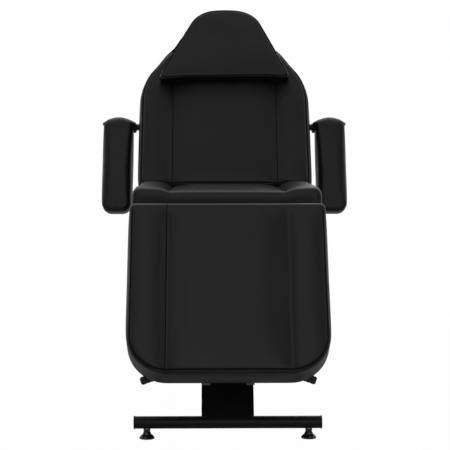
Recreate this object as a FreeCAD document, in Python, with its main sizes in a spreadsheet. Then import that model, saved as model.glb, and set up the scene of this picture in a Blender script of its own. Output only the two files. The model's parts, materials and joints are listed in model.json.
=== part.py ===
import FreeCAD, Part
import math
import os
import re
from types import SimpleNamespace
import Sketcher

# Adjustable treatment chair-bed: three padded sections on a fixed pedestal, two gas springs, two armrests.
# Everything is laid out with the three sections flat, y counted from the front face of the seat, and then
# each section is turned about its hinge into the resting pose.

SIZES = {
    # whole object
    "length_shift": -281.18, "back_angle": 58, "foot_angle": 59, "arm_angle": 76,
    # padded sections
    "pad_half_width": 300, "pad_bottom": 643, "pad_top": 750, "pad_centre": 741, "pad_channel": 731,
    "channel_x": 185, "pad_corner": 28, "board_inset": 16, "board_thickness": 15, "seat_length": 480,
    "foot_gap": 8, "foot_length": 557, "foot_end_radius": 120, "back_half_width": 304, "back_start": 16,
    "shoulder_y": 437, "shoulder_radius": 212, "neck_x": 192, "neck_y": 592, "back_crown_x": 100,
    "back_crown_y": 742, "back_crown_radius": 90, "back_top": 752, "waist_radius": 300, "head_arch": 400,
    "roll_fall": 14, "crown_margin": 30, "crown_run": 20, "pillow_start": 436, "pillow_half_width": 238,
    "pillow_corner": 22, "pillow_waist_x": 186, "pillow_waist_y": 570, "pillow_crown_x": 102,
    "pillow_crown_y": 727, "pillow_crown_radius": 100, "pillow_top": 738, "pillow_gap": 0.6,
    # hinges
    "back_axis_y": 496, "back_axis_z": 730, "foot_axis_y": -45, "foot_axis_z": 629, "back_pin_radius": 5,
    "foot_pin_radius": 6, "running_gap": 0.05, "ear_thickness": 5, "back_ear_radius": 11,
    "foot_ear_radius": 13, "back_ear_x": 225, "ear_gap": 1, "pin_head": 4, "pin_play": 1,
    "foot_head_radius": 10, "back_head_radius": 8, "ear_reach": 70, "ear_step": 16, "ear_lead": 6,
    "ear_corner": 4, "ear_bend": 3, "ear_drop": 2,
    # frames
    "rail_x": 53, "rail_width": 25, "seat_rail_height": 40, "seat_rail_bottom": 588, "wall": 2,
    "cross_half": 240, "cross_depth": 30, "cross_height": 15, "back_rail": 25, "back_rail_start": 558,
    "back_rail_end": 1130, "upper_half": 100, "foot_rail_width": 24, "foot_rail_height": 40,
    "foot_rail_start": -25, "foot_rail_end": -545, "plug_length": 4, "rail_play": 0.5, "rail_setback": 2,
    "front_bar_y": 12,
    # armrests
    "arm_along": 320, "arm_axis_z": 630, "arm_tube_radius": 12, "arm_tube_end": 315, "spindle_radius": 8,
    "arm_lug_x": 321, "arm_lug_radius": 13, "arm_plate": 5, "arm_inner": 329, "arm_outer": 437,
    "arm_rear": 30, "arm_front": -323, "arm_bottom": -12, "arm_end_radius": 32, "arm_splay": 5,
    "arm_ear_radius": 14, "arm_ear_drop": 14, "arm_arch": 60, "tray_inset": 12, "tray_end": 15,
    "bridge_lap": 2, "lug_tail": 4, "collar_radius": 13, "collar_play": 0.5, "spindle_start": 200,
    # base
    "tube_radius": 19, "tube_half": 284, "tube_z": 49, "front_tube_y": -170, "rear_tube_y": 880,
    "cap_radius": 20.5, "cap_thickness": 3, "cap_plug": 14, "foot_x": 247, "foot_height": 30,
    "hex_radius": 10.5, "hex_height": 9, "stud_radius": 5, "stud_top": 58, "socket_radius": 8,
    "socket_height": 30, "beam_width": 100, "beam_height": 30,
    # pedestal
    "box_half": 80.5, "sheet": 3, "plate": 6, "box_front": -149, "box_rear": 520, "box_top_front": 230,
    "box_top_rear": 430, "box_bottom_z": 66, "box_top_z": 582, "bolt_radius": 4, "bolt_head": 7,
    "bolt_inset": 30, "bolt_reach": 10,
    # gas springs
    "foot_spring_reach": 240, "foot_spring_drop": 60, "back_spring_reach": 280, "back_spring_drop": 132,
    "back_spring_lead": 6, "eye_radius": 10, "eye_half": 8.5, "spring_pin_radius": 4, "cheek": 5,
    "cheek_nose": 12, "cheek_gap": 0.5, "bracket_depth": 40, "clevis_below": 22, "clevis_above": 26,
    "clevis_round": 9, "cylinder_radius": 11, "neck_radius": 7, "neck_length": 44, "rod_radius": 5,
    "foot_cylinder": 286, "foot_rod": 225, "back_cylinder": 288, "back_rod": 312,
    # release bars
    "bar_radius": 6, "bar_bend": 40, "bar_knee": 100, "foot_bar_y": -484, "foot_bar_z": 617,
    "foot_bar_reach": 256, "foot_bar_drop": 57, "back_bar_y": 1075, "back_bar_z": 627,
    "back_bar_reach": 190, "back_bar_drop": 28, "grip_radius": 12, "grip_groove": 10.8, "foot_grip": 96,
    "back_grip": 74, "grip_pitch": 12, "groove_width": 2, "groove_slope": 1, "grip_end": 4,
    "grip_bevel": 3,
}

X_AXIS = FreeCAD.Vector(1, 0, 0)
Y_AXIS = FreeCAD.Vector(0, 1, 0)
Z_AXIS = FreeCAD.Vector(0, 0, 1)
# A sketched hole is drawn at this radius, and then takes its own from the sheet.
DRAWN_RADIUS = 4

doc = FreeCAD.newDocument("TreatmentChair")
sheet = doc.addObject("Spreadsheet::Sheet", "Sizes")
for row, (alias, number) in enumerate(SIZES.items(), start=1):
    sheet.set(f"A{row}", alias)
    sheet.set(f"B{row}", str(number))
    sheet.setAlias(f"B{row}", alias)
doc.recompute()
d = SimpleNamespace(**{alias: float(sheet.get(alias)) for alias in SIZES})
nodes = {}


def vec(x, y, z):
    return FreeCAD.Vector(x, y, z)


def bind(thing, **formulas):
    # Ties properties of an object to the sheet; a formula names the sheet's cells.
    for prop, formula in formulas.items():
        thing.setExpression(prop, re.sub(r"[a-z]\w+", lambda word: "Sizes." + word.group(), formula))


def keep(label, thing, pose):
    # Names a finished sub-part and turns it into its resting place.
    thing.Label = label
    thing.Placement = pose.multiply(thing.Placement)
    nodes[label] = thing
    return thing


def turned_about(y, z, angle):
    return FreeCAD.Placement(vec(0, 0, 0), FreeCAD.Rotation(X_AXIS, angle), vec(0, y, z))


def box(length, width, height, corner):
    solid = doc.addObject("Part::Box", "Block")
    bind(solid, Length=length, Width=width, Height=height)
    solid.Placement.Base = vec(*corner)
    return solid


def cylinder(radius, length, start, direction):
    solid = doc.addObject("Part::Cylinder", "Round")
    bind(solid, Radius=radius, Height=length)
    solid.Placement = FreeCAD.Placement(vec(*start), FreeCAD.Rotation(Z_AXIS, direction))
    return solid


def fuse(*solids):
    joined = doc.addObject("Part::MultiFuse", "Joined")
    joined.Shapes = list(solids)
    return joined


def cut(base, *tools):
    result = doc.addObject("Part::Cut", "Trimmed")
    result.Base = base
    result.Tool = tools[0] if len(tools) == 1 else fuse(*tools)
    return result


def group(*solids):
    together = doc.addObject("Part::Compound", "Group")
    together.Links = list(solids)
    return together


def feature(shape):
    solid = doc.addObject("Part::Feature", "Formed")
    solid.Shape = shape
    return solid


def square_tube(length, width, height, corner, along):
    # A rectangular tube with open ends; along is the index of its long axis.
    outer = box(length, width, height, corner)
    spans = [length, width, height]
    inner_corner = list(corner)
    for axis in range(3):
        if axis != along:
            spans[axis] = f"{spans[axis]} - 2 * wall"
            inner_corner[axis] += d.wall
    return cut(outer, box(*spans, inner_corner))


def rounded(corners):
    # Lines and tangent arcs round a closed polygon of (x, y, radius) corners.
    count = len(corners)
    ends = []
    for i, (x, y, radius) in enumerate(corners):
        here = vec(x, y, 0)
        back = (vec(*corners[i - 1][:2], 0) - here).normalize()
        ahead = (vec(*corners[(i + 1) % count][:2], 0) - here).normalize()
        half = back.getAngle(ahead) / 2
        if radius == 0:
            ends.append((here, None, here))
            continue
        bisector = (back + ahead).normalize()
        trim = radius / math.tan(half)
        middle = here + bisector * (radius / math.sin(half) - radius)
        ends.append((here + back * trim, middle, here + ahead * trim))
    pieces = []
    for i, (first, middle, last) in enumerate(ends):
        if middle is not None:
            pieces.append(Part.Arc(first, middle, last))
        pieces.append(Part.LineSegment(last, ends[(i + 1) % count][0]))
    return pieces


def mirrored(half):
    # The whole outline from its right half, listed from the lowest corner up to the middle of the top.
    left = [(-x, y, radius) for x, y, radius in reversed(half) if x > 0]
    return half + left


def origin_plane(body, role):
    return next(plane for plane in body.Origin.OriginFeatures if plane.Role == role)


def plate(corners, thickness, start_x, holes=()):
    # A flat plate square to x: its outline and holes are drawn in y and z. A hole is (y, z, radius formula).
    body = doc.addObject("PartDesign::Body", "Plate")
    sketch = body.newObject("Sketcher::SketchObject", "PlateOutline")
    sketch.AttachmentSupport = [(origin_plane(body, "YZ_Plane"), "")]
    sketch.MapMode = "FlatFace"
    sketch.addGeometry(rounded(corners))
    for number, (y, z, radius) in enumerate(holes):
        ring = sketch.addGeometry(Part.Circle(vec(y, z, 0), Z_AXIS, DRAWN_RADIUS))
        index = sketch.addConstraint(Sketcher.Constraint("Radius", ring, DRAWN_RADIUS))
        sketch.renameConstraint(index, f"hole{number}")
        bind(sketch, **{f"Constraints.hole{number}": radius})
    pad = body.newObject("PartDesign::Pad", "PlateThickness")
    pad.Profile = sketch
    bind(pad, Length=thickness)
    body.Placement.Base.x = start_x
    return body


def spun(profile):
    # A solid of revolution about z from a closed list of (radius, height) points.
    body = doc.addObject("PartDesign::Body", "Turning")
    sketch = body.newObject("Sketcher::SketchObject", "TurnedProfile")
    sketch.AttachmentSupport = [(origin_plane(body, "XZ_Plane"), "")]
    sketch.MapMode = "FlatFace"
    points = [vec(radius, height, 0) for radius, height in profile]
    for first, last in zip(points, points[1:] + points[:1]):
        sketch.addGeometry(Part.LineSegment(first, last))
    turn = body.newObject("PartDesign::Revolution", "Turn")
    turn.Profile = sketch
    turn.ReferenceAxis = (sketch, ["V_Axis"])
    turn.Angle = 360
    return body


def bent_rod(points, bend, radius):
    # A round rod along straight runs joined by tangent arcs.
    edges = []
    start = points[0]
    for before, here, after in zip(points, points[1:], points[2:]):
        back = (before - here).normalize()
        ahead = (after - here).normalize()
        half = back.getAngle(ahead) / 2
        trim = bend / math.tan(half)
        middle = here + (back + ahead).normalize() * (bend / math.sin(half) - bend)
        edges.append(Part.LineSegment(start, here + back * trim).toShape())
        edges.append(Part.Arc(here + back * trim, middle, here + ahead * trim).toShape())
        start = here + ahead * trim
    edges.append(Part.LineSegment(start, points[-1]).toShape())
    section = Part.Wire(Part.makeCircle(radius, points[0], (points[1] - points[0]).normalize()))
    return Part.Wire(edges).makePipeShell([section], True, False)


# How far each level of a padded section stands in from its widest outline: straight sides, drawn-in welt.
PAD_LEVELS = ((0, 2), (14, 0), (60, 0), (84, 3), (97, 9), (106, 18), (112, 26))
PILLOW_LEVELS = ((-10, 8), (4, 2), (14, 0), (24, 2), (34, 7), (42, 14), (47, 20))
ARM_LEVELS = ((0, 3), (10, 0), (40, 0), (56, 3), (65, 8), (70, 13))
# Radius and height of a levelling foot's moulded base, from the floor up.
FOOT_PROFILE = ((23, 0), (23, 4), (20, 8), (14, 13), (11, 19), (9, 22))
# A full round on the end of a plate keeps this much of its straight edge.
ROUND_TRIM = 0.1


def swelling(corners, levels, base):
    # A padded block: the outline, drawn in by each level's inset, lofted upwards from base.
    outline = Part.Wire([piece.toShape() for piece in rounded(corners)])
    rings = []
    for height, inset in levels:
        ring = outline.makeOffset2D(-inset) if inset else outline.copy()
        ring.translate(vec(0, 0, base + height))
        rings.append(ring)
    return Part.makeLoft(rings, True, False)


def crown(start_y, end_y):
    # The space under the sewn top: two raised side rolls and a middle panel, parted by channels along y.
    edge = d.back_half_width + d.crown_margin
    edge_z = d.pad_top - d.roll_fall
    roll_x = (d.pad_half_width + d.channel_x) / 2
    low = d.pad_bottom - d.crown_margin
    right_edge = vec(edge, start_y, edge_z)
    left_edge = vec(-edge, start_y, edge_z)
    right_channel = vec(d.channel_x, start_y, d.pad_channel)
    left_channel = vec(-d.channel_x, start_y, d.pad_channel)
    profile = [
        Part.LineSegment(vec(-edge, start_y, low), left_edge),
        Part.Arc(left_edge, vec(-roll_x, start_y, d.pad_top), left_channel),
        Part.Arc(left_channel, vec(0, start_y, d.pad_centre), right_channel),
        Part.Arc(right_channel, vec(roll_x, start_y, d.pad_top), right_edge),
        Part.LineSegment(right_edge, vec(edge, start_y, low)),
        Part.LineSegment(vec(edge, start_y, low), vec(-edge, start_y, low)),
    ]
    face = Part.Face(Part.Wire([piece.toShape() for piece in profile]))
    return face.extrude(vec(0, end_y - start_y, 0))


def padded_section(name, corners, pose):
    # The board and the cushion wrapped round its edge.
    outline = Part.Wire([piece.toShape() for piece in rounded(corners)])
    inner = Part.Face(outline.makeOffset2D(-d.board_inset))
    inner.translate(vec(0, 0, d.pad_bottom))
    board = inner.extrude(vec(0, 0, d.board_thickness))
    ys = [corner[1] for corner in corners]
    sewn = crown(min(ys) - d.crown_run, max(ys) + d.crown_run)
    cushion = swelling(corners, PAD_LEVELS, d.pad_bottom).common(sewn).cut(board)
    keep(f"{name}_board", feature(board), pose)
    keep(f"{name}_cushion", feature(cushion.removeSplitter()), pose)


fixed = FreeCAD.Placement(vec(0, d.length_shift, 0), FreeCAD.Rotation())
raised = fixed.multiply(turned_about(d.back_axis_y, d.back_axis_z, d.back_angle))
lowered = fixed.multiply(turned_about(d.foot_axis_y, d.foot_axis_z, d.foot_angle))


def levelling_foot():
    collar = FOOT_PROFILE[-1][0]
    profile = [(0, 0), *FOOT_PROFILE, (collar, d.foot_height), (d.stud_radius, d.foot_height),
               (d.stud_radius, d.stud_top), (0, d.stud_top)]
    neck = doc.addObject("Part::Prism", "HexNeck")
    neck.Polygon = 6
    bind(neck, Circumradius="hex_radius", Height="hex_height")
    neck.Placement.Base = vec(0, 0, d.foot_height - d.hex_height)
    return fuse(spun(profile), neck)


def base():
    sockets = []
    caps = []
    for name, tube_y in (("front", d.front_tube_y), ("rear", d.rear_tube_y)):
        outer = cylinder("tube_radius", "2 * tube_half", (-d.tube_half, tube_y, d.tube_z), X_AXIS)
        inner = cylinder("tube_radius - wall", "2 * tube_half", (-d.tube_half, tube_y, d.tube_z), X_AXIS)
        holes = []
        for side_name, side in (("left", -1), ("right", 1)):
            foot_place = (side * d.foot_x, tube_y, d.foot_height)
            holes.append(cylinder("socket_radius", "tube_radius", foot_place, Z_AXIS))
            sleeve = cylinder("socket_radius", "socket_height", foot_place, Z_AXIS)
            thread = cylinder("stud_radius + running_gap", "socket_height", foot_place, Z_AXIS)
            sockets.append(cut(sleeve, thread))
            foot = levelling_foot()
            foot.Placement.Base = vec(side * d.foot_x, tube_y, 0)
            keep(f"{name}_{side_name}_foot", foot, fixed)
            outward = X_AXIS * side
            end = (side * d.tube_half, tube_y, d.tube_z)
            inside = (side * (d.tube_half - d.cap_plug), tube_y, d.tube_z)
            flange = cylinder("cap_radius", "cap_thickness", end, outward)
            plug = cylinder("tube_radius - wall - running_gap", "cap_plug", inside, outward)
            caps.append(fuse(flange, plug))
        keep(f"{name}_tube", cut(outer, inner, *holes), fixed)
    keep("foot_sockets", group(*sockets), fixed)
    keep("tube_caps", group(*caps), fixed)
    beam_corner = (-d.beam_width / 2, d.front_tube_y, d.box_bottom_z - d.plate - d.beam_height)
    beam = square_tube("beam_width", "rear_tube_y - front_tube_y", "beam_height", beam_corner, 1)
    front = cylinder("tube_radius", "2 * tube_half", (-d.tube_half, d.front_tube_y, d.tube_z), X_AXIS)
    rear = cylinder("tube_radius", "2 * tube_half", (-d.tube_half, d.rear_tube_y, d.tube_z), X_AXIS)
    keep("base_beam", cut(beam, front, rear), fixed)


def pedestal():
    low = d.box_bottom_z
    high = d.box_top_z
    side = [(d.box_front, low, 0), (d.box_rear, low, 0),
            (d.box_top_rear, high, 0), (d.box_top_front, high, 0)]
    keep("pedestal_left_side", plate(side, "sheet", -d.box_half), fixed)
    keep("pedestal_right_side", plate(side, "sheet", d.box_half - d.sheet), fixed)
    # Measured level, a sloping sheet is thicker than its gauge.
    front_depth = d.sheet * math.hypot(1, (d.box_top_front - d.box_front) / (high - low))
    rear_depth = d.sheet * math.hypot(1, (d.box_rear - d.box_top_rear) / (high - low))
    front = [(d.box_front, low, 0), (d.box_front + front_depth, low, 0),
             (d.box_top_front + front_depth, high, 0), (d.box_top_front, high, 0)]
    rear = [(d.box_rear - rear_depth, low, 0), (d.box_rear, low, 0),
            (d.box_top_rear, high, 0), (d.box_top_rear - rear_depth, high, 0)]
    keep("pedestal_front_panel", plate(front, "2 * box_half - 2 * sheet", d.sheet - d.box_half), fixed)
    keep("pedestal_rear_panel", plate(rear, "2 * box_half - 2 * sheet", d.sheet - d.box_half), fixed)
    bottom = (-d.box_half, d.box_front, low - d.plate)
    keep("pedestal_bottom_plate", box("2 * box_half", "box_rear - box_front", "plate", bottom), fixed)
    top = box("2 * box_half", "box_top_rear - box_top_front", "plate", (-d.box_half, d.box_top_front, high))
    bolts = []
    holes = []
    for x in (-d.rail_x - d.rail_width / 2, d.rail_x + d.rail_width / 2):
        for y in (d.box_top_front + d.bolt_inset, d.box_top_rear - d.bolt_inset):
            head = cylinder("bolt_head", "bolt_radius", (x, y, high - d.bolt_radius), Z_AXIS)
            shank = cylinder("bolt_radius", "plate + bolt_reach", (x, y, high), Z_AXIS)
            bolts.append(fuse(head, shank))
            holes.append(cylinder("bolt_radius", "plate + bolt_reach", (x, y, high), Z_AXIS))
    keep("pedestal_top_plate", cut(top, *holes), fixed)
    keep("pedestal_bolts", group(*bolts), fixed)
    return holes


def seat_frame(bolt_holes):
    for name, x in (("left", -d.rail_x - d.rail_width), ("right", d.rail_x)):
        corner = (x, 0, d.seat_rail_bottom)
        rail = square_tube("rail_width", "seat_length - rail_setback", "seat_rail_height", corner, 1)
        keep(f"seat_{name}_rail", cut(rail, *bolt_holes), fixed)
    bar_z = d.pad_bottom - d.cross_height
    for name, y in (("front", d.front_bar_y), ("rear", d.seat_length - d.rail_setback - d.cross_depth)):
        bar = square_tube("2 * cross_half", "cross_depth", "cross_height", (-d.cross_half, y, bar_z), 0)
        keep(f"seat_{name}_bar", bar, fixed)
    half = [(d.pad_half_width, 0, d.pad_corner), (d.pad_half_width, d.seat_length, d.pad_corner)]
    padded_section("seat", mirrored(half), fixed)


def footrest_hinge():
    y = d.foot_axis_y
    z = d.foot_axis_z
    nose = d.foot_ear_radius
    full = nose - ROUND_TRIM
    step_z = z + nose - d.ear_step
    outline = [(y - nose, z - nose, full), (d.ear_reach, z - nose, d.ear_corner),
               (d.ear_reach, step_z, d.ear_corner), (0, step_z, 0), (-d.ear_lead, z + nose, d.ear_bend),
               (y - nose, z + nose, full)]
    hole = [(y, z, "foot_pin_radius + running_gap")]
    ears = []
    pins = []
    for x in (-d.rail_x - d.rail_width, d.rail_x):
        ears.append(plate(outline, "ear_thickness", x - d.ear_thickness, hole))
        ears.append(plate(outline, "ear_thickness", x + d.rail_width, hole))
        start = x - d.ear_thickness - d.pin_play
        length = "rail_width + 2 * ear_thickness + 2 * pin_play"
        shank = cylinder("foot_pin_radius", length, (start, y, z), X_AXIS)
        near = cylinder("foot_head_radius", "pin_head", (start - d.pin_head, y, z), X_AXIS)
        far_x = x + d.rail_width + d.ear_thickness + d.pin_play
        far = cylinder("foot_head_radius", "pin_head", (far_x, y, z), X_AXIS)
        pins.append(fuse(shank, near, far))
    keep("footrest_hinge_ears", group(*ears), fixed)
    keep("footrest_hinge_pins", group(*pins), fixed)


def backrest_hinge():
    y = d.back_axis_y
    z = d.back_axis_z
    nose = d.back_ear_radius
    foot_z = d.pad_bottom - d.back_rail
    shelf_z = d.pad_bottom - d.ear_drop
    strip = [(y - nose, z + nose, nose - ROUND_TRIM), (y + nose, z + nose, nose - ROUND_TRIM)]
    seat_edge = d.seat_length - d.rail_setback
    seat_outline = strip + [(y + nose, foot_z, d.ear_corner), (seat_edge, foot_z, 0), (seat_edge, shelf_z, 0),
                            (y - nose, shelf_z, d.ear_bend)]
    back_edge = d.back_rail_start - d.back_rail
    back_outline = strip + [(y + nose, shelf_z, d.ear_bend), (back_edge, shelf_z, 0), (back_edge, foot_z, 0),
                            (y - nose, foot_z, d.ear_corner)]
    hole = [(y, z, "back_pin_radius + running_gap")]
    seat_ears = []
    back_ears = []
    pins = []
    step = d.ear_thickness + d.ear_gap
    for side in (-1, 1):
        inner = d.back_ear_x if side > 0 else -d.back_ear_x - d.ear_thickness
        outer = d.back_ear_x + step if side > 0 else -d.back_ear_x - step - d.ear_thickness
        seat_ears.append(plate(seat_outline, "ear_thickness", inner, hole))
        back_ears.append(plate(back_outline, "ear_thickness", outer, hole))
        start = min(inner, outer) - d.pin_play
        length = "2 * ear_thickness + ear_gap + 2 * pin_play"
        shank = cylinder("back_pin_radius", length, (start, y, z), X_AXIS)
        near = cylinder("back_head_radius", "pin_head", (start - d.pin_head, y, z), X_AXIS)
        far_x = start + 2 * d.ear_thickness + d.ear_gap + 2 * d.pin_play
        far = cylinder("back_head_radius", "pin_head", (far_x, y, z), X_AXIS)
        pins.append(fuse(shank, near, far))
    keep("backrest_hinge_ears", group(*seat_ears), fixed)
    keep("backrest_hinge_pins", group(*pins), fixed)
    keep("backrest_ears", group(*back_ears), raised)


def spring_bracket(y, z, bar_z):
    # A flat bar across two rails with two cheeks below it and the pin that carries a spring's eye.
    corner = (-d.box_half, y - d.bracket_depth / 2, bar_z - d.plate)
    bar = box("2 * box_half", "bracket_depth", "plate", corner)
    parts = [bar]
    nose = d.cheek_nose
    inner = d.eye_half + d.cheek_gap
    for x in (inner, -inner - d.cheek):
        outline = [(y - nose, bar_z - d.plate, 0), (y - nose, z - nose, nose - ROUND_TRIM),
                   (y + nose, z - nose, nose - ROUND_TRIM), (y + nose, bar_z - d.plate, 0)]
        parts.append(plate(outline, "cheek", x))
    pin_length = "2 * eye_half + 2 * cheek_gap + 2 * cheek"
    parts.append(cylinder("spring_pin_radius", pin_length, (-inner - d.cheek, y, z), X_AXIS))
    return fuse(*parts)


def spring_eye():
    return cylinder("eye_radius", "2 * eye_half", (-d.eye_half, 0, 0), X_AXIS)


def spring_eye_hole():
    return cylinder("spring_pin_radius + running_gap", "2 * eye_half", (-d.eye_half, 0, 0), X_AXIS)


def spring_rod(length):
    # The rod half of a gas spring along y, its eye at the origin.
    return cut(fuse(spring_eye(), cylinder("rod_radius", length, (0, 0, 0), Y_AXIS)), spring_eye_hole())


def spring_cylinder(length):
    # The cylinder half: a neck that clears the bracket's cheeks, then the body, bored for the rod.
    neck = cylinder("neck_radius", "neck_length + 1", (0, 0, 0), Y_AXIS)
    body = cylinder("cylinder_radius", f"{length} - neck_length", (0, d.neck_length, 0), Y_AXIS)
    bore = cylinder("rod_radius + running_gap", length, (0, 2 * d.eye_radius, 0), Y_AXIS)
    return cut(fuse(spring_eye(), neck, body), spring_eye_hole(), bore)


def gas_spring(name, foot, head):
    # The cylinder turns on the fixed pin at foot, the rod on the moving pin at head; both lie on one line.
    line = head - foot
    angle = math.degrees(math.atan2(line.z, line.y))
    up = FreeCAD.Placement(foot, FreeCAD.Rotation(X_AXIS, angle))
    down = FreeCAD.Placement(head, FreeCAD.Rotation(X_AXIS, angle + 180))
    prefix = "foot" if name == "footrest" else "back"
    keep(f"{name}_spring_cylinder", spring_cylinder(f"{prefix}_cylinder"), up)
    keep(f"{name}_spring_rod", spring_rod(f"{prefix}_rod"), down)
    print(f"{name} spring: foot {foot}, head {head}, length {line.Length:.2f}")


def footrest_spring():
    foot_y = d.foot_axis_y + d.foot_spring_reach
    head_y = d.foot_axis_y - d.foot_spring_reach
    z = d.foot_axis_z - d.foot_spring_drop
    keep("footrest_spring_clevis", spring_bracket(foot_y, z, d.seat_rail_bottom), fixed)
    rail_bottom = d.pad_bottom - d.foot_rail_height
    keep("footrest_spring_bracket", spring_bracket(head_y, z, rail_bottom), lowered)
    gas_spring("footrest", fixed.multVec(vec(0, foot_y, z)), lowered.multVec(vec(0, head_y, z)))


def backrest_spring():
    # Both pins are equally far from the hinge, so the spring turns by half of the backrest's angle.
    reach = math.hypot(d.back_spring_reach, d.back_spring_drop)
    foot_y = d.back_axis_y - d.back_spring_lead
    foot_z = d.back_axis_z - math.sqrt(reach ** 2 - d.back_spring_lead ** 2)
    lean = (d.box_rear - d.box_top_rear) / (d.box_top_z - d.box_bottom_z)
    low = foot_z - d.clevis_below
    high = foot_z + d.clevis_above
    nose = d.cheek_nose
    outline = [(d.box_top_rear + (d.box_top_z - low) * lean, low, 0),
               (foot_y + nose, foot_z - nose, d.clevis_round), (foot_y + nose, foot_z + nose, d.clevis_round),
               (d.box_top_rear + (d.box_top_z - high) * lean, high, 0)]
    inner = d.eye_half + d.cheek_gap
    cheeks = [plate(outline, "cheek", x) for x in (inner, -inner - d.cheek)]
    start = (-inner - d.cheek, foot_y, foot_z)
    pin = cylinder("spring_pin_radius", "2 * eye_half + 2 * cheek_gap + 2 * cheek", start, X_AXIS)
    keep("backrest_spring_clevis", fuse(*cheeks, pin), fixed)
    head = vec(0, d.back_axis_y + d.back_spring_reach, d.back_axis_z - d.back_spring_drop)
    rail_bottom = d.pad_bottom - d.back_rail
    keep("backrest_spring_bracket", spring_bracket(head.y, head.z, rail_bottom), raised)
    gas_spring("backrest", fixed.multVec(vec(0, foot_y, foot_z)), raised.multVec(head))


def release(name, y, z, reach, drop, grip_length, outward, pose):
    # A bent bar that turns in both rails of a section, with a ribbed grip on each end.
    tip_y = y + outward * drop
    points = [vec(-reach, tip_y, z), vec(-d.bar_knee, y, z), vec(d.bar_knee, y, z), vec(reach, tip_y, z)]
    keep(f"{name}_release_bar", feature(bent_rod(points, d.bar_bend, d.bar_radius)), pose)
    bore = d.bar_radius + d.running_gap
    profile = [(bore, 0), (d.grip_radius, 0)]
    height = d.grip_pitch
    while height < grip_length - d.grip_pitch / 2:
        floor = height - d.groove_width
        profile += [(d.grip_radius, floor - d.groove_slope), (d.grip_groove, floor), (d.grip_groove, height),
                    (d.grip_radius, height + d.groove_slope)]
        height += d.grip_pitch
    tip_height = grip_length + d.grip_end
    profile += [(d.grip_radius, grip_length), (d.grip_radius - d.grip_bevel, tip_height), (0, tip_height),
                (0, grip_length), (bore, grip_length)]
    grips = []
    for knee, tip in ((points[1], points[0]), (points[2], points[3])):
        line = (tip - knee).normalize()
        grip = spun(profile)
        grip.Placement = FreeCAD.Placement(tip - line * grip_length, FreeCAD.Rotation(Z_AXIS, line))
        grips.append(grip)
    keep(f"{name}_release_grips", group(*grips), pose)


def footrest():
    start = d.foot_rail_start
    bottom = d.pad_bottom - d.foot_rail_height
    plugs = []
    for name, x in (("left", -d.rail_x - d.rail_play - d.foot_rail_width), ("right", d.rail_x + d.rail_play)):
        tube = square_tube("foot_rail_width", "foot_rail_start - foot_rail_end", "foot_rail_height",
                           (x, d.foot_rail_end, bottom), 1)
        pin = cylinder("foot_pin_radius + running_gap", "foot_rail_width",
                       (x, d.foot_axis_y, d.foot_axis_z), X_AXIS)
        bar = cylinder("bar_radius + running_gap", "foot_rail_width", (x, d.foot_bar_y, d.foot_bar_z), X_AXIS)
        keep(f"footrest_{name}_rail", cut(tube, pin, bar), lowered)
        for y in (d.foot_rail_end - d.plug_length, start):
            plugs.append(box("foot_rail_width", "plug_length", "foot_rail_height", (x, y, bottom)))
    keep("footrest_rail_plugs", group(*plugs), lowered)
    end = -d.foot_gap - d.foot_length
    half = [(d.pad_half_width, end, d.foot_end_radius), (d.pad_half_width, -d.foot_gap, d.pad_corner)]
    padded_section("footrest", mirrored(half), lowered)
    release("footrest", d.foot_bar_y, d.foot_bar_z, d.foot_bar_reach, d.foot_bar_drop, d.foot_grip, -1,
            lowered)


def backrest():
    bottom = d.pad_bottom - d.back_rail
    lower = (-d.cross_half, d.back_rail_start - d.back_rail, bottom)
    keep("backrest_lower_bar", square_tube("2 * cross_half", "back_rail", "back_rail", lower, 0), raised)
    upper = (-d.upper_half, d.back_rail_end, bottom)
    keep("backrest_upper_bar", square_tube("2 * upper_half", "back_rail", "back_rail", upper, 0), raised)
    for name, x in (("left", -d.rail_x - d.rail_width), ("right", d.rail_x)):
        tube = square_tube("rail_width", "back_rail_end - back_rail_start", "back_rail",
                           (x, d.back_rail_start, bottom), 1)
        bar = cylinder("bar_radius + running_gap", "rail_width", (x, d.back_bar_y, d.back_bar_z), X_AXIS)
        keep(f"backrest_{name}_rail", cut(tube, bar), raised)
    axis = d.back_axis_y
    edge = d.back_half_width
    half = [(edge, axis + d.back_start, d.pad_corner), (edge, axis + d.shoulder_y, d.shoulder_radius),
            (d.neck_x, axis + d.neck_y, d.waist_radius),
            (d.back_crown_x, axis + d.back_crown_y, d.back_crown_radius),
            (0, axis + d.back_top, d.head_arch)]
    padded_section("backrest", mirrored(half), raised)
    release("backrest", d.back_bar_y, d.back_bar_z, d.back_bar_reach, d.back_bar_drop, d.back_grip, 1, raised)


def head_pillow():
    axis = d.back_axis_y
    half = [(d.pillow_half_width, axis + d.pillow_start, d.pillow_corner),
            (d.pillow_waist_x, axis + d.pillow_waist_y, d.waist_radius),
            (d.pillow_crown_x, axis + d.pillow_crown_y, d.pillow_crown_radius),
            (0, axis + d.pillow_top, d.head_arch)]
    pillow = swelling(mirrored(half), PILLOW_LEVELS, d.pad_centre + d.pillow_gap)
    bed = crown(axis, axis + 2 * d.pillow_start)
    bed.translate(vec(0, 0, d.pillow_gap))
    keep("head_pillow", feature(pillow.cut(bed)), raised)


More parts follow.
